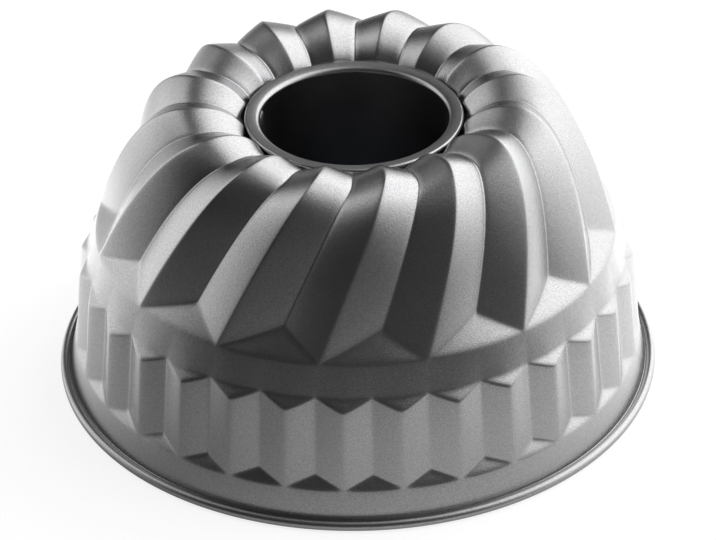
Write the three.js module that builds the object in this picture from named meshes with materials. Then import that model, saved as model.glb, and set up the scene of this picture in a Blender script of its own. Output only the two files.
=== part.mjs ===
import * as THREE from 'three';
import { mergeVertices } from 'three/addons/utils/BufferGeometryUtils.js';

// Kugelhopf mould of coated steel sheet, standing mouth down.
// Millimetres, +Z up. The origin is the middle of the rim's underside.

// Sheet, wire and fits
const SHEET = 0.6; // thickness of the shell's and the tube's sheet
const WIRE_DIAMETER = 1.8; // wire inside the rolled rim
const FIT = 0.3; // clearance between pieces that touch
const BEND = 0.8; // bend radius of the sheet at the collar and the ring

// Rim
const RIM_DIAMETER = 220; // across the outside of the rolled rim
const GROOVE_REACH = 2.1; // from the wall to the middle of the rolled rim
const GROOVE_DROP = 1.25; // the groove behind the rolled rim lies this far below its top
const GROOVE_BEND = 0.3; // bend between the wall and the groove

// Skirt with straight flutes, heights above the table
const SKIRT_BASE_STEP = 6.5; // the skirt's ridges end this far inside the rim
const SKIRT_BASE_HEIGHT = 13.35; // lower end of the skirt's ridges
const SKIRT_LEDGE_RISE = 3.35; // the skirt's valleys end this much higher
const SKIRT_TOP_HEIGHT = 46.8; // upper end of the skirt's valleys
const HIP_DROP = 3.2; // the skirt's ridges start this much lower
const SKIRT_DRAFT = 5.6; // degrees that the skirt's ridges lean in
const SKIRT_DEPTH_BASE = 2.8; // depth of the skirt's flutes at their lower end
const SKIRT_DEPTH_TOP = 3.3; // and at their upper end
const PLEAT_SHARE = 0.12; // share of a hip's slope by which the band's foot stands out over it
const SKIRT_LAG = 0.6; // degrees that the skirt's flutes lie behind the lower ends of the crown's

// Crown with twisted flutes
const CROWN_FLUTES = 16;
const CROWN_PHASE = 14.45; // degrees from +X to the lower end of a crown ridge
const CROWN_TWIST = 18.45; // degrees that a flute turns between its two ends
const TWIST_START = 0.266; // share of a ridge, from the ring, that runs straight before it turns
const TWIST_SOFTNESS = 0.044; // share of a ridge over which the turn sets in
const TWIST_EASE = 0.238; // how much of the turn's rate is lost towards the ledge
const BAND_DRAFT = 17; // degrees that the band above the skirt leans in
const LEDGE_HEIGHT = 58; // the crown's ridges end here, on the band
const LEDGE_RUN = 10.2; // its valleys end this far short of that, along the flute
const FLANK_LEAN = 18.4; // degrees that a ridge leans in where it ends
const CREST_HEIGHT = 109.5; // top of the crown's ridges
const CREST_REACH = 18.15; // from a ridge's inner end out to its crest
const INNER_SLOPE = 63; // degrees at which a ridge rises from the ring
const FLUTE_DEPTH_RING = 1.5; // depth of the crown's flutes at the ring
const FLUTE_DEPTH_CREST = 4.25; // at the crest
const FLUTE_DEPTH_LEDGE = 5.8; // and at the ledges
const INNER_FULLNESS = 0.331; // how far the rise from the ring carries on, as a share of the crest's reach
const CREST_SPREAD = 0.435; // how far the crest carries on inwards, as a share of its reach
const CREST_FULLNESS = 0.458; // how far the crest carries on outwards, as a share of the flank's width
const FLANK_FULLNESS = 0.58; // how far the flank carries on upwards, as a share of its height

// Centre tube and its rolled ring
const TUBE_TOP_BORE = 66.4; // bore at the ring
const TUBE_MOUTH_BORE = 54; // bore at the lower end
const TUBE_STANDOFF = 4; // the lower end's height above the table
const TUBE_CURL_RADIUS = 1.3; // safety curl at the lower end
const RING_WIDTH = 5.5; // land of the ring
const RING_HEIGHT = 100.5; // top of the ring's outer edge
const RING_TILT = 0.35; // the land falls this much towards the bore
const RING_DEPTH = 4; // the ring's outer leg reaches this far down
const RING_GAP = 0.3; // from the ring to the inner ends of the crown's ridges
const RIDGE_END_DROP = 0.7; // those ends lie this far below the ring's top
const LAP_WIDTH = 6; // overlap of the tube's seam
const LAP_AZIMUTH = 173.5; // degrees from +X to the seam

// Fineness of the facets
const COLUMNS_PER_FLUTE = 4; // ridge, flank, valley, flank
const INNER_STEPS = 4; // along a crown flute, from the ring to the crest
const FLANK_STEPS = 8; // and from the crest to the ledge
const TUBE_COLUMNS = 48;
const ROLL_SIDES = 8; // sides of a rolled edge, and of the wire
const WELD = 1e-4; // points nearer than this are one point

// Shared places worked out from the sizes above
const COLUMNS = CROWN_FLUTES * COLUMNS_PER_FLUTE;
const RIM_RADIUS = RIM_DIAMETER / 2;
const BEAD_RADIUS = WIRE_DIAMETER / 2 + FIT + SHEET;
const BEAD_MIDDLE = RIM_RADIUS - BEAD_RADIUS;
const TUBE_TOP_RADIUS = TUBE_TOP_BORE / 2;
const RING_RADIUS = TUBE_TOP_RADIUS + RING_WIDTH;
const RIDGE_END_RADIUS = RING_RADIUS + RING_GAP;
const RIDGE_END_HEIGHT = RING_HEIGHT - RIDGE_END_DROP;
const RING_FOOT = RING_HEIGHT - RING_DEPTH;

const radians = THREE.MathUtils.degToRad;
const lerp = THREE.MathUtils.lerp;

// A point at a radius, an angle and a height
function around(radius, angle, height) {
  return new THREE.Vector3(radius * Math.cos(angle), radius * Math.sin(angle), height);
}

// A corner of the polygon drawn round a roll of sheet, at an angle in the plane of radius and height
function outsideCorner(middle, radius, angle) {
  const reach = radius / Math.cos(Math.PI / ROLL_SIDES);
  return new THREE.Vector2(middle.x + reach * Math.cos(angle), middle.y + reach * Math.sin(angle));
}

// The triangles between two neighbouring rows of a grid of points, closed round the axis
function gridTriangles(grid) {
  const triangles = [];
  for (let row = 0; row + 1 < grid.length; row++) {
    grid[row].forEach((a, column) => {
      const next = (column + 1) % grid[row].length;
      const b = grid[row + 1][column];
      const c = grid[row + 1][next];
      const d = grid[row][next];
      triangles.push([a, b, c], [a, c, d]);
    });
  }
  return triangles;
}

// A geometry of shared vertices from triangles, without those that have shrunk to a line
function weldedGeometry(triangles) {
  const apart = (p, q) => p.distanceTo(q) > WELD;
  const whole = triangles.filter(([a, b, c]) => apart(a, b) && apart(b, c) && apart(c, a));
  const geometry = new THREE.BufferGeometry();
  geometry.setFromPoints(whole.flat());
  return mergeVertices(geometry, WELD);
}

// The hidden side of a sheet: each point of the visible side moved back along the mean normal of the
// faces round it, far enough to leave the thickness between the faces
function hiddenSide(grid, thickness) {
  const sums = new Map(grid.flat().map((point) => [point, { normal: new THREE.Vector3(), faces: 0 }]));
  for (let row = 0; row + 1 < grid.length; row++) {
    grid[row].forEach((a, column) => {
      const next = (column + 1) % grid[row].length;
      const b = grid[row + 1][column];
      const c = grid[row + 1][next];
      const d = grid[row][next];
      const across = new THREE.Vector3().subVectors(d, b);
      const normal = new THREE.Vector3().subVectors(c, a).cross(across).normalize();
      [a, b, c, d].forEach((corner) => {
        sums.get(corner).normal.add(normal);
        sums.get(corner).faces += 1;
      });
    });
  }
  shareWhereColumnsMeet(grid, sums);
  return grid.map((row) => row.map((point) => {
    const { normal, faces } = sums.get(point);
    return point.clone().addScaledVector(normal, (-thickness * faces) / normal.lengthSq());
  }));
}

// Two neighbours of a column that lie in one place get one sum of normals
function shareWhereColumnsMeet(grid, sums) {
  for (let row = 0; row + 1 < grid.length; row++) {
    grid[row].forEach((point, column) => {
      const below = grid[row + 1][column];
      if (point.distanceTo(below) < WELD) {
        const both = sums.get(below);
        both.normal.add(sums.get(point).normal);
        both.faces += sums.get(point).faces;
        sums.set(point, both);
      }
    });
  }
}

// A closed solid between the visible and the hidden side of a sheet, with its two free edges
function closedSheet(visible, hidden) {
  const flipped = gridTriangles(hidden).map(([a, b, c]) => [a, c, b]);
  const firstEdge = gridTriangles([hidden[0], visible[0]]);
  const lastEdge = gridTriangles([visible.at(-1), hidden.at(-1)]);
  return weldedGeometry([...gridTriangles(visible), ...flipped, ...firstEdge, ...lastEdge]);
}

// The crown's ridge in the plane of radius and height: one curve from the ring up to the crest, and
// one from there down the flank to the ledge
function ridgeLine(ledge) {
  const ringEnd = new THREE.Vector2(RIDGE_END_RADIUS, RIDGE_END_HEIGHT);
  const crest = new THREE.Vector2(RIDGE_END_RADIUS + CREST_REACH, CREST_HEIGHT);
  const slope = radians(INNER_SLOPE);
  const ringPull = INNER_FULLNESS * CREST_REACH;
  const fromRing = new THREE.Vector2(
    ringEnd.x + ringPull * Math.cos(slope),
    ringEnd.y + ringPull * Math.sin(slope),
  );
  const toCrest = new THREE.Vector2(crest.x - CREST_SPREAD * CREST_REACH, crest.y);
  const fromCrest = new THREE.Vector2(crest.x + CREST_FULLNESS * (ledge.x - crest.x), crest.y);
  const flankPull = FLANK_FULLNESS * (crest.y - ledge.y);
  const fromLedge = new THREE.Vector2(
    ledge.x - flankPull * Math.tan(radians(FLANK_LEAN)),
    ledge.y + flankPull,
  );
  const line = new THREE.CurvePath();
  line.add(new THREE.CubicBezierCurve(ringEnd, fromRing, toCrest, crest));
  line.add(new THREE.CubicBezierCurve(crest, fromCrest, fromLedge, ledge));
  return line;
}

// How far a flute has turned at a share of its ridge: straight from the ring over the crest, then at a
// rate that falls as the crown grows wider
function crownTurn(along) {
  const past = (share) => {
    const over = share - TWIST_START;
    return (over + Math.hypot(over, TWIST_SOFTNESS)) / 2;
  };
  const done = (past(along) - past(0)) / (past(1) - past(0));
  return radians(CROWN_TWIST) * (1 - done) * (1 - TWIST_EASE * done);
}

// The crown's rows from the ring to the ledges: valleys lie the flute's depth behind the ridges,
// and the whole pattern turns as it goes down
function crownRows(columns, ledge) {
  const line = ridgeLine(ledge);
  const length = line.getLength();
  const crestShare = line.curves[0].getLength() / length;
  const valleyShare = 1 - LEDGE_RUN / length;
  const depthAt = (along) => (along < crestShare
    ? lerp(FLUTE_DEPTH_RING, FLUTE_DEPTH_CREST, along / crestShare)
    : lerp(FLUTE_DEPTH_CREST, FLUTE_DEPTH_LEDGE, (along - crestShare) / (1 - crestShare)));
  const place = (angle, valley, along) => {
    const ridge = line.getPoint(along);
    const tangent = line.getTangent(along);
    const depth = valley * depthAt(along);
    return around(ridge.x + depth * tangent.y, angle + crownTurn(along), ridge.y - depth * tangent.x);
  };
  const rows = [];
  for (let step = 0; step < INNER_STEPS; step++) {
    const along = (crestShare * step) / INNER_STEPS;
    rows.push(columns.map(({ angle, valley }) => place(angle, valley, along)));
  }
  for (let step = 0; step <= FLANK_STEPS; step++) {
    rows.push(columns.map(({ angle, valley }) => {
      const end = lerp(1, valleyShare, valley);
      return place(angle, valley, lerp(crestShare, end, step / FLANK_STEPS));
    }));
  }
  return rows;
}

// The drawn shell, from its collar inside the ring, over the crown and down to the rolled rim
function flutedShell() {
  const columns = Array.from({ length: COLUMNS }, (_, column) => {
    const place = (column % COLUMNS_PER_FLUTE) / COLUMNS_PER_FLUTE;
    return {
      angle: radians(CROWN_PHASE) + (2 * Math.PI * column) / COLUMNS,
      valley: 1 - Math.abs(1 - 2 * place),
      skirtRidge: column % 2 === 1,
    };
  });
  const circle = (radius, height, turn = 0) => (
    columns.map(({ angle }) => around(radius, angle + turn, height))
  );
  const lag = -radians(SKIRT_LAG);
  const zigzag = (ridge, valley) => columns.map(({ angle, skirtRidge }) => {
    const place = skirtRidge ? ridge : valley;
    return around(place.x, angle + lag, place.y);
  });

  // Skirt and band, worked upwards from the rim
  const lean = Math.tan(radians(SKIRT_DRAFT));
  const skirtBase = new THREE.Vector2(RIM_RADIUS - SKIRT_BASE_STEP, SKIRT_BASE_HEIGHT);
  const skirtRidgeAt = (height) => skirtBase.x - lean * (height - SKIRT_BASE_HEIGHT);
  const hip = new THREE.Vector2(skirtRidgeAt(SKIRT_TOP_HEIGHT - HIP_DROP), SKIRT_TOP_HEIGHT - HIP_DROP);
  const valleyBase = SKIRT_BASE_HEIGHT + SKIRT_LEDGE_RISE;
  const valleyFoot = new THREE.Vector2(skirtRidgeAt(valleyBase) - SKIRT_DEPTH_BASE, valleyBase);
  const valleyTop = new THREE.Vector2(skirtRidgeAt(SKIRT_TOP_HEIGHT) - SKIRT_DEPTH_TOP, SKIRT_TOP_HEIGHT);
  const pleat = valleyTop.clone().lerp(hip, PLEAT_SHARE);
  const bandRise = LEDGE_HEIGHT - SKIRT_TOP_HEIGHT;
  const ledge = new THREE.Vector2(valleyTop.x - bandRise * Math.tan(radians(BAND_DRAFT)), LEDGE_HEIGHT);

  // Collar and gutter under the tube's ring
  const collarRadius = TUBE_TOP_RADIUS + SHEET + FIT + SHEET;
  const collarTop = RING_HEIGHT - RING_TILT - SHEET - FIT;
  const gutter = RING_FOOT - FIT;
  const turned = crownTurn(0);
  const neck = [
    circle(collarRadius, collarTop, turned),
    circle(collarRadius, gutter + BEND, turned),
    circle(collarRadius + BEND, gutter, turned),
    circle(RIDGE_END_RADIUS - FIT, gutter, turned),
    circle(RIDGE_END_RADIUS, gutter + FIT, turned),
  ];

  // Groove, and the curl over the wire, open towards the inside
  const wall = BEAD_MIDDLE - GROOVE_REACH;
  const groove = 2 * BEAD_RADIUS - GROOVE_DROP;
  const beadMiddle = new THREE.Vector2(BEAD_MIDDLE, BEAD_RADIUS);
  const curl = Array.from({ length: ROLL_SIDES - 2 }, (_, side) => {
    const turn = (2 * Math.PI * (ROLL_SIDES / 4 + 0.5 - side)) / ROLL_SIDES;
    const corner = outsideCorner(beadMiddle, BEAD_RADIUS, turn);
    return circle(corner.x, corner.y, lag);
  });

  const visible = [
    ...neck,
    ...crownRows(columns, ledge),
    circle(ledge.x, ledge.y),
    zigzag(pleat, valleyTop),
    zigzag(hip, valleyTop),
    zigzag(skirtBase, valleyFoot),
    circle(skirtBase.x, skirtBase.y, lag),
    circle(wall, groove + GROOVE_BEND, lag),
    circle(wall + GROOVE_BEND, groove, lag),
    ...curl,
  ];
  return closedSheet(visible, hiddenSide(visible, SHEET));
}

// The tapered tube with its lap seam, its curl at the mouth and its ring rolled over the collar
function centreTube() {
  const mouth = TUBE_MOUTH_BORE / 2;
  const curlMiddle = new THREE.Vector2(mouth + TUBE_CURL_RADIUS, TUBE_STANDOFF + TUBE_CURL_RADIUS);
  const curl = Array.from({ length: ROLL_SIDES / 2 + 1 }, (_, side) => {
    const turn = (2 * Math.PI * (0.5 - side)) / ROLL_SIDES;
    return outsideCorner(curlMiddle, TUBE_CURL_RADIUS, turn);
  });
  const bore = [
    new THREE.Vector2(mouth, TUBE_STANDOFF + 2 * TUBE_CURL_RADIUS),
    new THREE.Vector2(TUBE_TOP_RADIUS, RING_HEIGHT - RING_TILT - BEND),
  ];
  const ring = [
    new THREE.Vector2(TUBE_TOP_RADIUS + BEND, RING_HEIGHT - RING_TILT),
    new THREE.Vector2(RING_RADIUS - BEND, RING_HEIGHT),
    new THREE.Vector2(RING_RADIUS, RING_HEIGHT - BEND),
    new THREE.Vector2(RING_RADIUS, RING_FOOT),
  ];

  // The seam's overlap lies between the first two columns and stands proud in the bore
  const halfLap = LAP_WIDTH / 2 / TUBE_TOP_RADIUS;
  const lapEdge = SHEET / TUBE_TOP_RADIUS;
  const rest = 2 * (Math.PI - halfLap - lapEdge);
  const middle = radians(LAP_AZIMUTH);
  const columns = [
    { angle: middle - halfLap, lap: SHEET },
    { angle: middle + halfLap, lap: SHEET },
  ];
  for (let column = 0; column <= TUBE_COLUMNS; column++) {
    columns.push({ angle: middle + halfLap + lapEdge + (rest * column) / TUBE_COLUMNS, lap: 0 });
  }

  const circle = ({ x, y }) => columns.map(({ angle }) => around(x, angle, y));
  const lapped = ({ x, y }) => columns.map(({ angle, lap }) => around(x - lap, angle, y));
  const plain = [...curl, ...bore, ...ring].map(circle);
  const visible = [...curl.map(circle), ...bore.map(lapped), ...ring.map(circle)];
  return closedSheet(visible, hiddenSide(plain, SHEET));
}

// The wire inside the curl of the rim
function rimWire() {
  const geometry = new THREE.TorusGeometry(BEAD_MIDDLE, WIRE_DIAMETER / 2, ROLL_SIDES, COLUMNS);
  geometry.rotateZ(radians(CROWN_PHASE - SKIRT_LAG));
  geometry.translate(0, 0, BEAD_RADIUS);
  return geometry;
}

const coating = { color: 0x77787b, metalness: 0.7, roughness: 0.4 };
const bareSteel = { color: 0xb4b4b0, metalness: 1, roughness: 0.35 };

// One named mesh with a material of its own
function piece(name, geometry, finish) {
  const mesh = new THREE.Mesh(geometry, new THREE.MeshStandardMaterial(finish));
  mesh.name = name;
  return mesh;
}

const mould = new THREE.Group();
mould.add(
  piece('fluted_shell', flutedShell(), coating),
  piece('centre_tube', centreTube(), coating),
  piece('rim_wire', rimWire(), bareSteel),
);

export default mould;
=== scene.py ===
# %% [markdown]
# A kugelhopf mould of coated steel sheet, standing mouth down on a white table.
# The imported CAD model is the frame: every piece here lies where its CAD node lies, in metres, +Z up.
# The mould is pressed and rolled sheet, so its looks are in the shape of the sheet and in how a satin
# grey coating mirrors a studio. Both are made from formulas: numpy grids for the sheet, nodes for the
# coating and the light.

import bpy
import numpy as np
from mathutils import Matrix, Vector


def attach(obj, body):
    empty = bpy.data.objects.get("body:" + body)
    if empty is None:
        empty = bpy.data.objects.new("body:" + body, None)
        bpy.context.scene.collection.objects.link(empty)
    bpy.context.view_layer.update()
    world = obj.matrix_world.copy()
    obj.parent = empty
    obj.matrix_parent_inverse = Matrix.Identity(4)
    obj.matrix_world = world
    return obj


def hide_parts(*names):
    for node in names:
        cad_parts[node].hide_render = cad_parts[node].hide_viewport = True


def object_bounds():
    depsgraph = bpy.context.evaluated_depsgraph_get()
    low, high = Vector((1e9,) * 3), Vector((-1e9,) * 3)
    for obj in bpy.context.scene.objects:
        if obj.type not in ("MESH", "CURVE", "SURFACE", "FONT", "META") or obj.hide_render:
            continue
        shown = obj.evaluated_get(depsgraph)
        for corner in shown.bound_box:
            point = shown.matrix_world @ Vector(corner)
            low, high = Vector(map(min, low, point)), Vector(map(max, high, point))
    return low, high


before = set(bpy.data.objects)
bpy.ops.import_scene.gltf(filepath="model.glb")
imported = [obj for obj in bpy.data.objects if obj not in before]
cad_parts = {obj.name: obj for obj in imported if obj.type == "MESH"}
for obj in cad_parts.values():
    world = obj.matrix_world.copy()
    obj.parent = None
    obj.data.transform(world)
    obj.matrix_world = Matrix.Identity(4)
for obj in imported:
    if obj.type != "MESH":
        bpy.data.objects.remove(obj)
cad_box = [list(corner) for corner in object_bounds()]
scene = bpy.context.scene
scene.view_settings.view_transform = "Standard"
print("CAD box in metres:", cad_box)

# %% [markdown]
# The camera comes first, because it shows at once whether a piece is where the photograph has it.
# A photograph gives no camera data. The place, tilt, roll and focal length here were worked out from
# the ellipses of the rim and the ring and from the ends of the flutes, then written down as numbers.
# The focal length in pixels becomes a lens in millimetres for a sensor 36 mm wide.

# %% Camera
PHOTO_WIDTH = 716
FOCAL_PIXELS = 2806.75
CAMERA_PLACE = np.array([0.0, -0.85611, 0.59608])
TILT, TURN, ROLL = 0.5805, 0.0006, -0.0161  # radians: down, to the right, about the line of sight


def camera_axes(tilt, turn, roll):
    """Right, up and forward of a camera that looks along +Y, turned right, tilted down, then rolled."""
    forward = np.array([np.cos(tilt) * np.sin(turn), np.cos(tilt) * np.cos(turn), -np.sin(tilt)])
    level = np.cross(forward, [0, 0, 1])
    level = level / np.linalg.norm(level)
    above = np.cross(level, forward)
    right = np.cos(roll) * level + np.sin(roll) * above
    return right, np.cross(right, forward), forward


right, up, forward = camera_axes(TILT, TURN, ROLL)
lens = bpy.data.cameras.new("photo_camera")
lens.sensor_width = 36
lens.lens = FOCAL_PIXELS / PHOTO_WIDTH * lens.sensor_width
lens.clip_start = 0.01
camera = bpy.data.objects.new("photo_camera", lens)
axes = np.eye(4)
axes[:3, :4] = np.stack([right, up, -forward, CAMERA_PLACE], axis=1)
camera.matrix_world = Matrix(axes.tolist())
scene.collection.objects.link(camera)
scene.camera = camera
print("lens", round(lens.lens, 2), "mm")

# %% [markdown]
# All three pieces are sheet or wire, and each is a grid of points that closes round the axis. The faces
# of such a grid could be drawn one by one. Index arithmetic on whole arrays gives them all at once,
# with no loop over vertices.

# %% Faces of a closed grid
def grid_faces(rows, columns, first=0):
    """Quads between neighbouring rows of a grid closed round the axis: each has the corners (i, j),
    (i + 1, j), (i + 1, j + 1) and (i, j + 1), and the last column is followed by the first."""
    i, j = np.meshgrid(np.arange(rows - 1), np.arange(columns), indexing="ij")
    k = (j + 1) % columns
    corners = [i * columns + j, (i + 1) * columns + j, (i + 1) * columns + k, i * columns + k]
    return first + np.stack(corners, axis=-1).reshape(-1, 4)


def edge_faces(fine, coarse):
    """Three triangles for each pair of fine edge points and their one coarse neighbour, so that a dense
    edge meets a sparse one."""
    here, after = coarse, np.roll(coarse, -1)
    a, b, c = fine[0::2], fine[1::2], np.roll(fine, -2)[0::2]
    strips = [np.stack([here, a, b], 1), np.stack([here, b, after], 1), np.stack([after, b, c], 1)]
    return np.concatenate(strips)


print("a grid of 3 rows and 4 columns has", len(grid_faces(3, 4)), "quads")

# %% [markdown]
# One helper makes every mesh: it takes an array of points and lists of faces and hands them to Blender
# in whole arrays. A sheet has two sides, and Blender's Solidify could add the second one. Here the
# hidden side is worked out too, as the visible one moved back along its normals by the thickness, with
# half as many rows and columns, because only the visible side shows fine creases. Strips of triangles
# close the two free edges, so the mesh is a solid, as the sheet is.

# %% Mesh objects
MM = 0.001
SHARP_ANGLE = 50


def sheet_normals(points):
    """Unit normals of a closed grid: the step down a column crossed with the step round the axis."""
    round_axis = np.roll(points, -1, axis=1) - np.roll(points, 1, axis=1)
    down = np.gradient(points, axis=0)
    normal = np.cross(down, round_axis)
    return normal / np.linalg.norm(normal, axis=-1, keepdims=True)


def make_piece(name, points, quads, triangles=np.zeros((0, 3), int)):
    """A mesh object from points in millimetres, with smooth faces and sharp edges only past an angle."""
    mesh = bpy.data.meshes.new(name)
    mesh.vertices.add(len(points))
    mesh.vertices.foreach_set("co", (points * MM).astype(np.float32).ravel())
    loops = np.concatenate([quads.ravel(), triangles.ravel()]).astype(np.int32)
    sizes = np.concatenate([np.full(len(quads), 4), np.full(len(triangles), 3)])
    mesh.loops.add(len(loops))
    mesh.loops.foreach_set("vertex_index", loops)
    mesh.polygons.add(len(sizes))
    mesh.polygons.foreach_set("loop_start", (np.cumsum(sizes) - sizes).astype(np.int32))
    mesh.update(calc_edges=True)
    mesh.shade_smooth()
    mesh.set_sharp_from_angle(angle=np.radians(SHARP_ANGLE))
    piece = bpy.data.objects.new(name, mesh)
    scene.collection.objects.link(piece)
    print(name, len(points), "points,", 2 * len(quads) + len(triangles), "triangles")
    return piece


def make_sheet(name, points, thickness):
    """A closed sheet: the visible grid, its hidden side at every second point, moved back along the
    normals by the thickness, and a strip along each of the two free edges."""
    rows, columns = points.shape[:2]
    back = (points - thickness * sheet_normals(points))[::2, ::2]
    back_rows, back_columns = back.shape[:2]
    start = rows * columns
    hidden = grid_faces(back_rows, back_columns, start)[:, ::-1]
    quads = np.concatenate([grid_faces(rows, columns), hidden])
    fine, coarse = np.arange(columns), start + np.arange(back_columns)
    top = edge_faces(fine, coarse)
    foot = edge_faces(fine + (rows - 1) * columns, coarse + (back_rows - 1) * back_columns)[:, ::-1]
    every = np.concatenate([points.reshape(-1, 3), back.reshape(-1, 3)])
    return make_piece(name, every, quads, np.concatenate([top, foot]))


print("points are in millimetres, and a millimetre is", MM, "m")

# %% [markdown]
# The shell is one drawn sheet: a crown of 16 twisted flutes, a triangular ledge under each valley, a
# band with faint pleats, a skirt of 32 straight flutes, a lower band and the rolled rim. A press leaves
# crisp but never sharp creases, so a plain zigzag would look like folded card. The zigzag round the axis
# is therefore a triangle wave whose corners are rounded like a hyperbola, with its own rounding on
# ridges and in valleys: the crown's are crisp, the skirt's ridges are broad and soft.

# %% The zigzag of the flutes
FLUTES = 16


def flute_wave(phase, ridge_round, valley_round):
    """0 on a ridge (whole phase), 1 in a valley (half phase). Between them the distance x to the ridge
    rises straight; at each end x becomes the root of x squared plus the rounding squared, then 0 and 1
    are restored."""
    x = np.abs(phase - np.round(phase))
    raw = np.hypot(x, ridge_round) - np.hypot(0.5 - x, valley_round) - x
    low = ridge_round - np.hypot(0.5, valley_round)
    high = np.hypot(0.5, ridge_round) - valley_round - 0.5
    return (raw - low) / (high - low)


print("from ridge to valley:", flute_wave(np.linspace(0, 0.5, 6), 0.03, 0.02).round(3))

# %% [markdown]
# The rim's radius and the height come from the CAD box, less a hair so that the dressed mould stays
# inside it. Everything below the crown is straight in section: ledge, band, hip, skirt, lower ledge,
# lower band. Its corners are worked out from a few heights and from the lean of the band and the skirt.

# %% Section below the crown, in millimetres and degrees
BOX_MARGIN = 0.01
RIM_RADIUS = cad_box[1][0] / MM - BOX_MARGIN
TOP = cad_box[1][2] / MM - BOX_MARGIN
LOWER_BAND_INSET, SKIRT_BASE_HEIGHT, SKIRT_DRAFT = 6.36, 13.35, 5.6
HIP_HEIGHT, VALLEY_TOP_HEIGHT, VALLEY_FOOT_HEIGHT = 43.6, 46.8, 16.7
SKIRT_DEPTH_TOP, SKIRT_DEPTH_BASE = 3.3, 2.8
LEDGE_HEIGHT, BAND_DRAFT, PLEAT_SHARE = 58.0, 17.0, 0.12
SKIRT_BASE = np.array([RIM_RADIUS - LOWER_BAND_INSET, SKIRT_BASE_HEIGHT])


def skirt_ridge(height, depth=0.0):
    """A point of the skirt's leaning ridge at a height, or that far behind it."""
    inset = np.tan(np.radians(SKIRT_DRAFT)) * (height - SKIRT_BASE[1]) + depth
    return np.array([SKIRT_BASE[0] - inset, height])


HIP = skirt_ridge(HIP_HEIGHT)
VALLEY_TOP = skirt_ridge(VALLEY_TOP_HEIGHT, SKIRT_DEPTH_TOP)
VALLEY_FOOT = skirt_ridge(VALLEY_FOOT_HEIGHT, SKIRT_DEPTH_BASE)
HIP_TOP = VALLEY_TOP + PLEAT_SHARE * (HIP - VALLEY_TOP)
BAND_RISE = LEDGE_HEIGHT - VALLEY_TOP[1]
LEDGE = VALLEY_TOP + [-BAND_RISE * np.tan(np.radians(BAND_DRAFT)), BAND_RISE]
print("the ledge circle has radius", LEDGE[0].round(1), "mm")

# %% [markdown]
# Seen in section, the crown's ridge is one Bezier curve from the ring up to the crest and one from there
# down the flank. A circle would be simpler, but the photograph shows a crest that is tighter than the
# flank below it. The curve is sampled finely once, and a place on it is then given as a share of its
# length.

# %% Ridge of the crown
RIDGE_END = np.array([39.0, 99.8])
CREST = np.array([57.15, TOP])
RISE_REACH, RISE_ANGLE, CREST_REACH = 6.0, 63, 7.9
FLANK_PULL, FLANK_LIFT, FLANK_LEAN = 0.458, 0.58, 18.4


def bezier(a, b, c, d, steps=2000):
    """Points of a cubic Bezier curve: its four corners weighted by the terms of (1 - t) plus t, cubed."""
    t = np.linspace(0, 1, steps)[:, None]
    return (1 - t)**3 * a + 3 * (1 - t)**2 * t * b + 3 * (1 - t) * t**2 * c + t**3 * d


def ridge_section():
    """Points of the ridge as radius and height, the length run so far, and the crest's share of it."""
    rise = RISE_REACH * np.array([np.cos(np.radians(RISE_ANGLE)), np.sin(np.radians(RISE_ANGLE))])
    inner = bezier(RIDGE_END, RIDGE_END + rise, CREST - [CREST_REACH, 0], CREST)
    lift = FLANK_LIFT * (CREST[1] - LEDGE[1])
    pull = CREST + [FLANK_PULL * (LEDGE[0] - CREST[0]), 0]
    push = LEDGE + [-lift * np.tan(np.radians(FLANK_LEAN)), lift]
    points = np.vstack([inner, bezier(CREST, pull, push, LEDGE)[1:]])
    run = np.append(0, np.cumsum(np.linalg.norm(np.diff(points, axis=0), axis=1)))
    return points, run, run[len(inner) - 1] / run[-1]


RIDGE_POINTS, RIDGE_RUN, CREST_SHARE = ridge_section()
RIDGE_LENGTH = RIDGE_RUN[-1]


def on_ridge(along):
    """The ridge's point at a share of its length."""
    run = along * RIDGE_LENGTH
    return np.stack([np.interp(run, RIDGE_RUN, RIDGE_POINTS[:, k]) for k in (0, 1)], axis=-1)


print("a crown ridge is", round(RIDGE_LENGTH, 1), "mm long, the crest at", round(CREST_SHARE, 2), "of it")

# %% [markdown]
# The valleys lie behind the ridge, along its normal: shallow at the ring, where the sheet has to become
# round, and deeper towards the foot. The flutes run straight from the ring over the crest and turn only
# on the flank, at a rate that falls as the crown grows wider, which is why they look like one steady
# slant. Both need a rate that changes softly at one place. A ramp does that: it is 0 before the place
# and grows evenly after it, with a rounded corner.

# %% Depth and twist of the flutes
DEPTH_RING, DEPTH_CREST, DEPTH_LEDGE, DEPTH_SOFTNESS = 2.1, 4.25, 5.8, 0.03
CROWN_TWIST, TWIST_START, TWIST_SOFTNESS, TWIST_EASE = 18.45, 0.266, 0.044, 0.238
STEP = 0.001  # share of the ridge over which a slope is measured


def ramp(y, rounding):
    """0 before the corner and y after it, rounded: half of y plus the root of y squared plus the
    rounding squared."""
    return (y + np.hypot(y, rounding)) / 2


def flute_depth(along):
    """Depth of a valley: one rate from the ring to the crest, another to the ledge, joined by a ramp."""
    first = (DEPTH_CREST - DEPTH_RING) / CREST_SHARE
    second = (DEPTH_LEDGE - DEPTH_CREST) / (1 - CREST_SHARE)
    return DEPTH_RING + first * along + (second - first) * ramp(along - CREST_SHARE, DEPTH_SOFTNESS)


def crown_turn(along):
    """Degrees that a flute has yet to turn: the whole twist up to its start, then falling to 0 at the
    ledge."""
    before, here, full = (ramp(place - TWIST_START, TWIST_SOFTNESS) for place in (0, along, 1))
    done = (here - before) / (full - before)
    return CROWN_TWIST * (1 - done) * (1 - TWIST_EASE * done)


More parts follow.
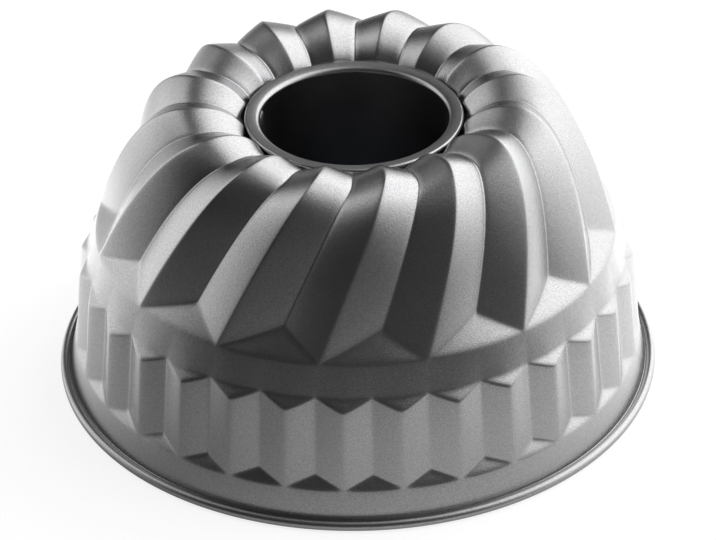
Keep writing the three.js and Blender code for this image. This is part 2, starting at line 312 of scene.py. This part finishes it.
def behind_ridge(along, valley):
    """The flute's point at a share of the ridge: the ridge's point moved back along its normal by valley
    times the depth."""
    near = np.clip(along, STEP, 1 - STEP)
    tangent = on_ridge(near + STEP) - on_ridge(near - STEP)
    tangent = tangent / np.linalg.norm(tangent, axis=-1, keepdims=True)
    depth = valley * flute_depth(along)
    return on_ridge(along) + depth[..., None] * np.stack([tangent[..., 1], -tangent[..., 0]], axis=-1)


print("depth at ring, crest and ledge:", flute_depth(np.array([0, CREST_SHARE, 1])).round(2), "mm")

# %% [markdown]
# Columns of the grid crowd together at the creases: on the crown at each ridge and valley, on the skirt
# twice as often. A sine added to an even spacing does that without a table of places. On the band
# between the two, the columns slide from one spacing to the other. The skirt has a valley where the
# crown has a ridge or a valley, so its wave is turned over. At the bottom of each crown valley the press
# has pinched a fine dark line, which is a narrow bell added to the depth.

# %% Columns of the shell
CROWN_PHASE, SKIRT_LAG = 14.45, 0.6
RIDGE_ROUND, VALLEY_ROUND = 0.55, 0.25
SKIRT_RIDGE_ROUND, SKIRT_VALLEY_ROUND = 1.1, 0.5
PINCH, PINCH_WIDTH = 0.25, 0.8
COLUMNS_PER_FLUTE = 32
CROWDING = 0.72
turns = np.arange(FLUTES * COLUMNS_PER_FLUTE) / COLUMNS_PER_FLUTE
crown_phase = turns - CROWDING * np.sin(4 * np.pi * turns) / (4 * np.pi)
skirt_phase = turns - CROWDING * np.sin(8 * np.pi * turns) / (8 * np.pi)
skirt_pitch = np.pi * SKIRT_BASE[0] / FLUTES
skirt_rounds = np.array([SKIRT_VALLEY_ROUND, SKIRT_RIDGE_ROUND]) / skirt_pitch
skirt_valley = 1 - flute_wave(2 * skirt_phase, *skirt_rounds)
skirt_phase = skirt_phase - SKIRT_LAG * FLUTES / 360
print(len(turns), "columns, skirt pitch", round(skirt_pitch, 2), "mm")


def crown_valley(along, pinch=PINCH):
    """The crown's wave on all columns, its rounding in millimetres as a share of the pitch there, plus
    the pinch: its depth as a share of the flute's, times e to the minus squared distance from the valley
    over its width."""
    pitch = 2 * np.pi * on_ridge(along)[..., 0] / FLUTES
    from_valley = pitch * (0.5 - np.abs(crown_phase - np.round(crown_phase)))
    crease = pinch / flute_depth(along) * np.exp(-(from_valley / PINCH_WIDTH)**2)
    return flute_wave(crown_phase, RIDGE_ROUND / pitch, VALLEY_ROUND / pitch) + crease


# %% [markdown]
# Below the crown each column is a chain of straight pieces, and a chain can be written as one sum: each
# corner adds its change of direction times a ramp. Rounding the ramp rounds every crease at once, also
# where two corners run together. The corners are worked out for all columns together, each with radius,
# height and turn about the axis. The crown's own curve runs on straight past its foot, and the ramps
# bend it into the ledge.

# %% Corners below the crown
LEDGE_RUN = 10.2
CREASE, HIP_CREASE = 0.75, 0.6
BEAD_RADIUS, GROOVE_REACH, GROOVE_DROP, GROOVE_BEND = 1.8, 2.1, 1.25, 0.3
SHORTEST = 1e-6  # a leg that has shrunk to a point keeps this length
CREASES = np.array([CREASE, CREASE, HIP_CREASE, HIP_CREASE, CREASE, CREASE])[:, None]
BEAD = np.array([RIM_RADIUS - BEAD_RADIUS, BEAD_RADIUS])
WALL_FOOT = np.array([BEAD[0] - GROOVE_REACH, 2 * BEAD_RADIUS - GROOVE_DROP + GROOVE_BEND])
still = np.zeros_like(turns)


def blend(start, end, share):
    """A column's place between two section points."""
    return start + (end - start) * share[:, None]


def corner_at(points, turn=still):
    """Radius, height and turn of one corner on every column; a single point serves them all."""
    return np.column_stack([np.broadcast_to(points, (len(turns), 2)), turn])


foot_valley = crown_valley(np.ones_like(turns), pinch=0)
foot_along = 1 - foot_valley * LEDGE_RUN / RIDGE_LENGTH
foot_point = behind_ridge(foot_along, foot_valley)
foot_slope = (foot_point - behind_ridge(foot_along - STEP, foot_valley)) / STEP
foot_speed = np.linalg.norm(foot_slope, axis=1)
foot_turn = crown_turn(foot_along)
foot_twist = (foot_turn - crown_turn(foot_along - STEP)) / STEP
flank = np.column_stack([foot_slope, foot_twist]) / foot_speed[:, None]

corners = np.stack([
    corner_at(foot_point, foot_turn),
    corner_at(LEDGE),
    corner_at(blend(HIP_TOP, VALLEY_TOP, skirt_valley)),
    corner_at(blend(HIP, VALLEY_TOP, skirt_valley)),
    corner_at(blend(SKIRT_BASE, VALLEY_FOOT, skirt_valley)),
    corner_at(SKIRT_BASE),
    corner_at(WALL_FOOT),
])
legs = np.diff(corners, axis=0)
leg_lengths = np.maximum(np.hypot(legs[..., 0], legs[..., 1]), SHORTEST)
corner_runs = np.concatenate([[still], np.cumsum(leg_lengths, axis=0)])
courses = np.concatenate([[flank], legs / leg_lengths[..., None]])
print("valley columns have a ledge of", leg_lengths[0].max().round(1), "mm")


def bend_below(points, run):
    """Adds each corner's change of course times the rounded ramp of the run past it."""
    change = np.diff(courses, axis=0)
    past = ramp(run - corner_runs[:-1], CREASES)
    return points + (change * past[..., None]).sum(axis=0)


# %% [markdown]
# At its upper end the crown goes down beside the ring, turns inwards into a hidden gutter and up again
# as the collar that the tube's ring is rolled over. This is the same sum of ramps, run backwards from
# the crown's start.

# %% Corners above the crown
COLLAR_RADIUS, COLLAR_TOP, GUTTER = 34.7, 98.7, 96.2
GUTTER_CREASE = 0.45
OUT, FALL = np.array([1.0, 0]), np.array([0, -1.0])
head_point = behind_ridge(still, crown_valley(still))
head_slope = (behind_ridge(still + STEP, crown_valley(still + STEP)) - head_point) / STEP
head_speed = np.linalg.norm(head_slope, axis=1)
rise_course = head_slope / head_speed[:, None]
gutter_corner = np.array([RIDGE_END[0], GUTTER])
wall_lengths = np.linalg.norm(head_point - gutter_corner, axis=1)
wall_course = (head_point - gutter_corner) / wall_lengths[:, None]
gutter_length = RIDGE_END[0] - COLLAR_RADIUS
print("the wall beside the ring is", wall_lengths.max().round(1), "mm deep")


def bend_above(points, run):
    """Adds each change of course times the rounded ramp of the run before the crown: into the wall, the
    gutter and the collar."""
    bent = points.copy()
    bent[:, :2] += (rise_course - wall_course) * ramp(-run, GUTTER_CREASE)[:, None]
    bent[:, :2] += (wall_course - OUT) * ramp(-wall_lengths - run, GUTTER_CREASE)[:, None]
    bent[:, :2] += (OUT - FALL) * ramp(-wall_lengths - gutter_length - run, GUTTER_CREASE)[:, None]
    return bent


# %% [markdown]
# The rows follow the same order as a hand running over the mould: collar, gutter, crown, ledge, band,
# hip, skirt, lower ledge, lower band. Rows also crowd together at the creases, with a cosine. Where a
# ledge shrinks to nothing on a ridge, its rows still keep a small distance, so no face collapses.

# %% Rows of the shell
KEEP = 1.2 * CREASE
NECK_ROWS, CROWN_ROWS = 10, 55


def neck_row(share):
    """A row from the collar's edge (share 0) to the crown's start (share 1)."""
    run = (share - 1) * (wall_lengths + gutter_length + COLLAR_TOP - GUTTER)
    straight = np.column_stack([head_point + rise_course * run[:, None], crown_turn(still)])
    return bend_above(straight, run)


def crown_row(share):
    """A row of the crown, from its start (share 0) to just above the ledges (share 1)."""
    along = share * (foot_along - KEEP / foot_speed)
    valley = (1 - share) * crown_valley(along) + share * foot_valley
    curve = np.column_stack([behind_ridge(along, valley), crown_turn(along)])
    return bend_below(bend_above(curve, along * head_speed), (along - foot_along) * foot_speed)


def lower_row(run):
    """A row below the crown, at a run past each column's first corner."""
    straight = corners[0] + flank * run[:, None]
    return bend_below(straight, run)


def stretch(start, end, count, phases=(skirt_phase, skirt_phase)):
    """Rows between two runs, close together at both ends by half of 1 minus a cosine, with their column
    phases."""
    shares = (0.5 - 0.5 * np.cos(np.linspace(0, np.pi, count + 1)))[1:]
    rows = [lower_row(start + (end - start) * share) for share in shares]
    return rows, [phases[0] + (phases[1] - phases[0]) * share for share in shares]


rows = [neck_row(share) for share in np.linspace(0, 1, NECK_ROWS + 1)[:-1]]
rows += [crown_row(share) for share in np.linspace(0, 1, CROWN_ROWS)]
phases = [crown_phase] * len(rows)
runs = corner_runs
for part in (
    stretch(runs[0] - KEEP, runs[1] + KEEP, 10, (crown_phase, crown_phase)),
    stretch(runs[1] + KEEP, runs[2] - KEEP, 7, (crown_phase, skirt_phase)),
    stretch(runs[2] - KEEP, runs[3] + KEEP, 8),
    stretch(runs[3] + KEEP, runs[4] - KEEP, 9),
    stretch(runs[4] - KEEP, runs[5] + KEEP, 8),
    stretch(runs[5] + KEEP, runs[6], 5),
):
    rows += part[0]
    phases += part[1]
print(len(rows), "rows down to the foot of the wall")

# %% [markdown]
# The rim is the same in every section: the wall turns out into a narrow groove, the dark line along the
# rim, and from there the edge is curled over a wire, outwards and down, which is the bright bead. That
# is a profile carried round the axis: two arcs. The curl stays open on the inside, as a rolled rim
# does, so the wire can be seen from below.

# %% Rim profile and the finished shell
SHEET = 0.6
CURL_END = -120


def arc(middle, radius, start, end, steps):
    """Points on a circle in section, between two angles in degrees, without the first one."""
    angle = np.radians(np.linspace(start, end, steps + 1))[1:]
    return middle + radius * np.column_stack([np.cos(angle), np.sin(angle)])


groove = arc(WALL_FOOT + [GROOVE_BEND, 0], GROOVE_BEND, 180, 270, 5)
curl_start = 180 - np.degrees(np.arcsin(1 - GROOVE_DROP / BEAD_RADIUS))
curl = arc(BEAD, BEAD_RADIUS, curl_start, CURL_END, 34)
rim = np.concatenate([groove, curl])


def shell_grid():
    """Points of the visible side: each row's radius, height and turn become x, y, z at the column's
    angle."""
    section = np.stack(rows)
    angle = np.radians(CROWN_PHASE + 360 / FLUTES * np.stack(phases) + section[..., 2])
    angle = np.concatenate([angle, np.repeat(angle[-1:], len(rim), axis=0)])
    shape = (len(rim), len(turns))
    radius = np.concatenate([section[..., 0], np.broadcast_to(rim[:, :1], shape)])
    height = np.concatenate([section[..., 1], np.broadcast_to(rim[:, 1:], shape)])
    return np.stack([radius * np.cos(angle), radius * np.sin(angle), height], axis=-1)


grid = shell_grid()
if len(grid) % 2 == 0:
    raise ValueError("the shell needs an odd number of rows, so that both edges are on the coarse side too")
shell = make_sheet("mould_shell", grid, SHEET)

# %% [markdown]
# The chimney is a strip rolled into a taper and lapped along a seam. Its upper edge is rolled outwards
# over the shell's collar, which is the grey ring round the hole: a wide inner bend, an almost flat land
# that rises a little outwards, and a tight outer bend. Its lower edge is a safety curl. Again a profile
# goes round the axis.

# %% Profile of the centre tube
BORE_MOUTH, BORE_TOP = 27.0, 33.2
CURL_RADIUS, CURL_HEIGHT = 1.3, 5.3
RING_RADIUS, RING_HEIGHT, RING_FOOT, RING_TILT = 38.7, 100.5, 96.5, 0.35
INNER_BEND, OUTER_BEND, LAND_SWELL = 1.9, 0.95, 0.08


def ring_profile():
    """Section of the visible side, from the curl at the mouth up the bore, over the ring and down its
    outer leg: arcs and straight lines, and on the land a swell of 4 times the share times its rest to 1."""
    mouth = np.array([BORE_MOUTH + CURL_RADIUS, CURL_HEIGHT])
    safety_curl = arc(mouth, CURL_RADIUS, 45, -180, 14)
    land_in = np.array([BORE_TOP + INNER_BEND, RING_HEIGHT - RING_TILT])
    bore = np.linspace(safety_curl[-1], [BORE_TOP, land_in[1] - INNER_BEND], 22)[1:]
    inner = arc(land_in - [0, INNER_BEND], INNER_BEND, 180, 104, 12)
    outer = arc(np.array([RING_RADIUS, RING_HEIGHT]) - OUTER_BEND, OUTER_BEND, 90, 0, 10)
    share = np.linspace(0, 1, 12)[1:-1, None]
    land = inner[-1] + share * (outer[0] - inner[-1]) + 4 * share * (1 - share) * [0, LAND_SWELL]
    leg = np.linspace(outer[-1], [RING_RADIUS, RING_FOOT], 6)[1:]
    return np.concatenate([safety_curl, bore, inner, land, outer, leg])


tube_profile = ring_profile()
print("the tube's profile has", len(tube_profile), "points")

# %% [markdown]
# The lap is a strip that stands one sheet proud in the bore. It could be a second piece; a mask over the
# angle, steep on the cut edge and gentle on the other, takes the sheet's thickness off the radius and
# keeps the tube one sheet. Columns crowd together at the lap, again with a sine.

# %% Centre tube with its lap
LAP_AZIMUTH, LAP_WIDTH = 173.5, 6.0
CUT_EDGE, SMOOTH_EDGE = 0.3, 1.2
LAP_FOOT, LAP_FOOT_FADE, LAP_TOP, LAP_TOP_FADE = 7.5, 1.5, 98.6, 0.6
TUBE_COLUMNS, LAP_CROWDING = 240, 0.92


def smooth_step(x):
    """0 below 0, 1 above 1, and 3 x squared minus 2 x cubed between."""
    x = np.clip(x, 0, 1)
    return x * x * (3 - 2 * x)


def tube_grid(profile):
    """Points of the tube: the profile turned round the axis, less the lap's thickness inside the bore."""
    share = np.arange(TUBE_COLUMNS) / TUBE_COLUMNS
    angle = 2 * np.pi * (share - LAP_CROWDING * np.sin(2 * np.pi * share) / (2 * np.pi))
    across = (angle - 2 * np.pi * np.round(share)) * BORE_TOP
    cut = smooth_step((across + LAP_WIDTH / 2) / CUT_EDGE)
    lap = cut * smooth_step((LAP_WIDTH / 2 - across) / SMOOTH_EDGE)
    height = profile[:, 1]
    above_foot = smooth_step((height - LAP_FOOT) / LAP_FOOT_FADE)
    in_bore = above_foot * smooth_step((LAP_TOP - height) / LAP_TOP_FADE)
    in_bore[profile[:, 0] > BORE_TOP + SHEET] = 0
    radius = profile[:, :1] - SHEET * in_bore[:, None] * lap
    turned = angle + np.radians(LAP_AZIMUTH)
    level = np.broadcast_to(height[:, None], radius.shape)
    return np.stack([radius * np.cos(turned), radius * np.sin(turned), level], axis=-1)


bore_grid = tube_grid(tube_profile)
odd_rows = len(bore_grid) // 2 * 2 - 1
tube = make_sheet("chimney_tube", bore_grid[:odd_rows], SHEET)

# %% [markdown]
# The wire in the rim is a ring of round steel, which only shows through the open curl. A circle carried
# round a larger circle closes both ways, so its faces close both ways too.

# %% Rim wire
WIRE_RADIUS = 0.9


def wire_grid(rounds=256, sides=16):
    """A ring torus: the small circle of the wire carried round the bead's middle."""
    a = np.linspace(0, -2 * np.pi, sides + 1)[:, None]
    b = np.linspace(0, 2 * np.pi, rounds, endpoint=False)[None, :]
    radius = BEAD[0] + WIRE_RADIUS * np.cos(a)
    height = np.broadcast_to(BEAD[1] + WIRE_RADIUS * np.sin(a), (sides + 1, rounds))
    return np.stack([radius * np.cos(b), radius * np.sin(b), height], axis=-1)


wire_points = wire_grid()
wire_sides, wire_rounds = wire_points.shape[0] - 1, wire_points.shape[1]
wire_faces = grid_faces(wire_sides + 1, wire_rounds) % (wire_sides * wire_rounds)
wire = make_piece("rim_wire_ring", wire_points[:-1].reshape(-1, 3), wire_faces)

# %% [markdown]
# Each piece stands for the CAD node of the same sheet or wire: it hides that node and moves with the
# node's body. Nothing moves on a mould, so that is one body, the root.

# %% Pieces in the frame
for piece, node, slot in (
    (shell, "fluted_shell", "coated_sheet"),
    (tube, "centre_tube", "coated_sheet"),
    (wire, "rim_wire", "steel_wire"),
):
    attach(piece, "root")
    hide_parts(node)
    print(piece.name, "stands for", node)

# %% [markdown]
# Two finishes need the same thing at different scales: a fine grain, which in the coating is the baked
# film over blasted steel and on the wire is the drawn surface. One node group makes it from two noises
# and puts out two values: the fine grain and a slow mottle. Each material decides what they do.

# %% Node helper and the grain group
MOTTLES_PER_METRE = 45.0


def add_node(tree, kind, inputs=(), **settings):
    """A node with its settings; an input is a number, a colour or another node's output."""
    made = tree.nodes.new(kind)
    for name, value in settings.items():
        setattr(made, name, value)
    for name, value in dict(inputs).items():
        if isinstance(value, bpy.types.NodeSocket):
            tree.links.new(value, made.inputs[name])
        else:
            made.inputs[name].default_value = value
    return made


def grain_group():
    """Fine grain and slow mottle from Object coordinates, both between 0 and 1."""
    group = bpy.data.node_groups.new("surface_grain", "ShaderNodeTree")
    face = group.interface
    face.new_socket("Place", in_out="INPUT", socket_type="NodeSocketVector")
    face.new_socket("Grains per metre", in_out="INPUT", socket_type="NodeSocketFloat")
    face.new_socket("Grain", in_out="OUTPUT", socket_type="NodeSocketFloat")
    face.new_socket("Mottle", in_out="OUTPUT", socket_type="NodeSocketFloat")
    enter = group.nodes.new("NodeGroupInput").outputs
    leave = group.nodes.new("NodeGroupOutput").inputs
    fine = add_node(group, "ShaderNodeTexNoise", {
        "Vector": enter["Place"], "Scale": enter["Grains per metre"], "Detail": 3.0, "Roughness": 0.65})
    slow = add_node(group, "ShaderNodeTexNoise", {
        "Vector": enter["Place"], "Scale": MOTTLES_PER_METRE, "Detail": 4.0})
    group.links.new(fine.outputs["Fac"], leave["Grain"])
    group.links.new(slow.outputs["Fac"], leave["Mottle"])
    return group


surface_grain = grain_group()
print("group sockets:", [item.name for item in surface_grain.interface.items_tree])

# %% [markdown]
# The coating is a baked grey film with metal in it: satin, so it mirrors the studio with soft edges and
# keeps a fine sandy grain where it is neither bright nor dark. As a metal it has no diffuse colour of
# its own, and a facet that mirrors the dark side of the studio goes almost black, as in the photograph.
# The sand shows mostly as light and dark grains, and only a little as relief: more relief would look
# like leather.

# %% Coating and wire
GRAIN_SPAN, MOTTLE_SPAN = (0.32, 0.68), (0.3, 0.7)  # parts of the noises that are stretched to 0 and 1
SHEEN_SPREAD = 0.03
RELIEF = 0.0002


def coat(name, dark, light, rough, grains, bump):
    """Base colour between two greys by the grain, roughness by the mottle, and a bump from the grain."""
    material = bpy.data.materials.new(name)
    material.use_nodes = True
    tree = material.node_tree
    shader = tree.nodes["Principled BSDF"]
    shader.inputs["Metallic"].default_value = 1.0
    place = tree.nodes.new("ShaderNodeTexCoord").outputs["Object"]
    grain = add_node(tree, "ShaderNodeGroup", node_tree=surface_grain)
    grain.inputs["Grains per metre"].default_value = grains
    tree.links.new(place, grain.inputs["Place"])
    share = add_node(tree, "ShaderNodeMapRange", {
        "Value": grain.outputs["Grain"], "From Min": GRAIN_SPAN[0], "From Max": GRAIN_SPAN[1]})
    colour = add_node(tree, "ShaderNodeMix", {
        0: share.outputs["Result"], 6: (*dark, 1), 7: (*light, 1)}, data_type="RGBA")
    tree.links.new(colour.outputs[2], shader.inputs["Base Color"])
    sheen = add_node(tree, "ShaderNodeMapRange", {
        "Value": grain.outputs["Mottle"], "From Min": MOTTLE_SPAN[0], "From Max": MOTTLE_SPAN[1],
        "To Min": rough - SHEEN_SPREAD, "To Max": rough + SHEEN_SPREAD})
    tree.links.new(sheen.outputs["Result"], shader.inputs["Roughness"])
    relief = add_node(tree, "ShaderNodeBump", {
        "Height": grain.outputs["Grain"], "Strength": bump, "Distance": RELIEF})
    tree.links.new(relief.outputs["Normal"], shader.inputs["Normal"])
    print(name, "with", grains, "grains per metre")
    return material


coating = coat(
    "grey_coating", (0.29, 0.29, 0.298), (0.435, 0.435, 0.435), rough=0.24, grains=2500.0, bump=0.25)
drawn_steel = coat(
    "drawn_wire", (0.42, 0.42, 0.41), (0.55, 0.55, 0.54), rough=0.30, grains=4000.0, bump=0.1)
for piece, finish in ((shell, coating), (tube, coating), (wire, drawn_steel)):
    piece.data.materials.append(finish)

# %% [markdown]
# A metal shows what is around it, so the light is the other half of the finish. Lamps would do for a
# painted piece; here an even white room would leave the flutes flat. So the world is written as the
# studio that the reflections in the photograph imply: a dark room with a weak ceiling, a large soft box
# on the right that leans, a smaller one on the left, a pale backdrop low behind and a dim wall above it.
# Azimuth (0 in front, positive to the right) and elevation of a direction come from its coordinates, and
# each light is a product of soft steps in them, one for each of its edges. The studio stands still
# when the camera goes round the mould. Only the camera sees plain white instead.

# %% Soft steps in nodes
def calc(tree, operation, a, b=0.0, c=0.0):
    """The output of one Math node."""
    return add_node(tree, "ShaderNodeMath", {0: a, 1: b, 2: c}, operation=operation).outputs[0]


def soft(tree, value, start, end, low=0.0, high=1.0):
    """A smooth step: low up to the start, high from the end on."""
    rise = {"Value": value, "From Min": start, "From Max": end, "To Min": low, "To Max": high}
    return add_node(tree, "ShaderNodeMapRange", rise, interpolation_type="SMOOTHSTEP").outputs["Result"]


def chain(tree, operation, first, *others):
    """The outputs added or multiplied one after the other."""
    for other in others:
        first = calc(tree, operation, first, other)
    return first


def azimuth_of(tree, x, y):
    """Degrees about the axis: the arc tangent of x over minus y."""
    return calc(tree, "DEGREES", calc(tree, "ARCTAN2", x, calc(tree, "MULTIPLY", y, -1.0)))


print("a light is a product of soft steps in degrees")

# %% [markdown]
# Each light below has its level in its first step, which is also one of its edges. An edge leans where
# its azimuth has a share of the elevation added.

# %% Studio
def studio_light(tree):
    """World radiance: a dark room plus two soft boxes, a backdrop and a back wall."""
    direction = tree.nodes.new("ShaderNodeTexCoord").outputs["Generated"]
    x, y, z = add_node(tree, "ShaderNodeSeparateXYZ", {0: direction}).outputs
    azimuth = azimuth_of(tree, x, y)
    elevation = calc(tree, "DEGREES", calc(tree, "ARCSINE", z))
    left = calc(tree, "MULTIPLY", azimuth, -1.0)
    backwards = calc(tree, "ABSOLUTE", azimuth)

    def leaning(value, share):
        return calc(tree, "MULTIPLY_ADD", elevation, share, value)

    walls = soft(tree, elevation, -5, 22, 0.15, 0.09)
    ceiling = soft(tree, elevation, 58, 80, 0, 0.19)
    room = calc(tree, "MULTIPLY_ADD", x, 0.057, calc(tree, "ADD", walls, ceiling))
    right_box = chain(
        tree, "MULTIPLY",
        soft(tree, leaning(azimuth, 0.38), 46, 120, 0, 2.4),  # front edge
        soft(tree, azimuth, 154, 173, 1, 0),  # back edge
        soft(tree, elevation, -48, 22),  # lower edge
        soft(tree, elevation, 39, 101, 1, 0))  # upper edge
    left_box = chain(
        tree, "MULTIPLY",
        soft(tree, leaning(left, -0.08), 58.5, 137, 0, 1.75),  # front edge
        soft(tree, leaning(left, 0.144), 114.5, 166, 1, 0),  # back edge
        soft(tree, elevation, -50, 8),  # lower edge
        soft(tree, elevation, 53, 73, 1, 0.03))  # upper edge
    backdrop = chain(
        tree, "MULTIPLY",
        soft(tree, backwards, 93, 209, 0, 3.8),  # side edges
        soft(tree, backwards, 120, 165, 1, 0.45),  # dimmer in its middle
        soft(tree, elevation, -54, 22, 1, 0))  # upper edge
    back_wall = chain(
        tree, "MULTIPLY",
        soft(tree, backwards, 164, 180, 0, 0.26),  # side edges
        soft(tree, elevation, 5, 30),  # lower edge
        soft(tree, elevation, 62, 85, 1, 0.3))  # upper edge
    return chain(tree, "ADD", room, right_box, left_box, backdrop, back_wall)


def studio():
    """A white world: the studio's light to every ray but the camera's, and 1 to the camera."""
    world = bpy.data.worlds.new("studio")
    world.use_nodes = True
    scene.world = world
    tree = world.node_tree
    seen = tree.nodes.new("ShaderNodeLightPath").outputs["Is Camera Ray"]
    strength = add_node(tree, "ShaderNodeMix", {0: seen, 2: studio_light(tree), 3: 1.0}, data_type="FLOAT")
    tree.links.new(strength.outputs[0], tree.nodes["Background"].inputs["Strength"])
    tree.nodes["Background"].inputs["Color"].default_value = (1, 1, 1, 1)
    print("studio world with", len(tree.nodes), "nodes")


studio()

# %% [markdown]
# The table is a plain white floor, and the camera sees it run into the white background without a seam.
# A part of its white is light of its own, so that only a faint shadow shows, as in the photograph. The
# metal has to see a table too: the lower half of the skirt mirrors one that ends a short way from the
# mould, and past its edge the dark room. A ray that the metal sends down therefore meets a round table
# top that glows with painted light and shade: dim in front on the left, brighter towards both sides and
# dimmer again straight behind, and beyond its edge it goes on into the studio. Under the mould that glow
# is a painted shade, dark and a little blue, which is what the bore shows. From below the floor is open,
# so that the underside can be looked at.

# %% Light of the table, in metres and degrees
TABLE_RADIUS, EDGE_SOFTNESS = 0.255, 0.08
# painted shade: the table top's glow under the mould, dark and a little blue
PAINTED_SHADE_UNDER_MOULD = (0.066, 0.076, 0.1, 1)
WHITE = (1, 1, 1, 1)


def table_top(tree, x, y, distance):
    """What mirrored rays see: the table top's painted light by azimuth, a painted shade under the mould,
    clear past its edge.
    """
    azimuth = azimuth_of(tree, x, y)
    # painted light and shade of the table top: dimmer in front, brighter towards both sides
    front = soft(tree, azimuth, -54, 31, 0.3, 0.755)
    right = soft(tree, azimuth, 23, 147, 0, 1.84)
    left = soft(tree, calc(tree, "MULTIPLY", azimuth, -1.0), 40, 161, 0, 2.28)
    open_table = calc(tree, "ADD", front, calc(tree, "ADD", right, left))
    dimmer_behind = soft(tree, calc(tree, "ABSOLUTE", azimuth), 115, 160, 1, 0.5)
    lit = calc(tree, "MULTIPLY", open_table, dimmer_behind)
    outside = soft(tree, distance, 0.1, 0.115)
    shade = add_node(tree, "ShaderNodeMix", {0: outside, 6: PAINTED_SHADE_UNDER_MOULD, 7: WHITE}, data_type="RGBA")
    top = add_node(tree, "ShaderNodeEmission", {"Color": shade.outputs[2], "Strength": lit})
    past_edge = soft(tree, distance, TABLE_RADIUS - EDGE_SOFTNESS, TABLE_RADIUS + EDGE_SOFTNESS)
    clear = tree.nodes.new("ShaderNodeBsdfTransparent")
    return add_node(tree, "ShaderNodeMixShader", {0: past_edge, 1: top.outputs[0], 2: clear.outputs[0]})


print("table top of", 2 * TABLE_RADIUS, "m")

# %% [markdown]
# The floor's material joins the three things that it is: white to the camera, a table top to mirrored
# rays, and nothing at all from below. Its own light falls off under the mould, so that the floor seen
# through the bore is in shade.

# %% Floor
FLOOR_REACH = 4.0
FLOOR_GREY = (0.3, 0.3, 0.3, 1)
SHADED_LIGHT, OWN_LIGHT = 0.3, 0.82


def white_table():
    """The floor's material, chosen by the kind of ray and the side that it meets."""
    material = bpy.data.materials.new("white_table")
    material.use_nodes = True
    tree = material.node_tree
    place = tree.nodes.new("ShaderNodeTexCoord").outputs["Object"]
    x, y, z = add_node(tree, "ShaderNodeSeparateXYZ", {0: place}).outputs
    distance = add_node(tree, "ShaderNodeVectorMath", {0: place}, operation="LENGTH").outputs["Value"]
    white = tree.nodes["Principled BSDF"]
    white.inputs["Base Color"].default_value = FLOOR_GREY
    white.inputs["Roughness"].default_value = 0.9
    white.inputs["Specular IOR Level"].default_value = 0.0
    white.inputs["Emission Color"].default_value = WHITE
    own_light = soft(tree, distance, 0.09, 0.107, SHADED_LIGHT, OWN_LIGHT)
    tree.links.new(own_light, white.inputs["Emission Strength"])
    seen = tree.nodes.new("ShaderNodeLightPath").outputs["Is Camera Ray"]
    mirrored = table_top(tree, x, y, distance).outputs[0]
    above = add_node(tree, "ShaderNodeMixShader", {0: seen, 1: mirrored, 2: white.outputs[0]})
    from_below = tree.nodes.new("ShaderNodeNewGeometry").outputs["Backfacing"]
    clear = tree.nodes.new("ShaderNodeBsdfTransparent")
    both = add_node(tree, "ShaderNodeMixShader", {0: from_below, 1: above.outputs[0], 2: clear.outputs[0]})
    tree.links.new(both.outputs[0], tree.nodes["Material Output"].inputs["Surface"])
    return material


def white_floor():
    """A square at height 0, centred on the mould, that isn't part of it."""
    mesh = bpy.data.meshes.new("floor")
    square = np.array([[-1, -1, 0], [1, -1, 0], [1, 1, 0], [-1, 1, 0]]) * FLOOR_REACH
    mesh.from_pydata(square.tolist(), [], [(0, 1, 2, 3)])
    mesh.materials.append(white_table())
    floor = bpy.data.objects.new("floor", mesh)
    scene.collection.objects.link(floor)
    print("floor of", 2 * FLOOR_REACH, "m")


white_floor()
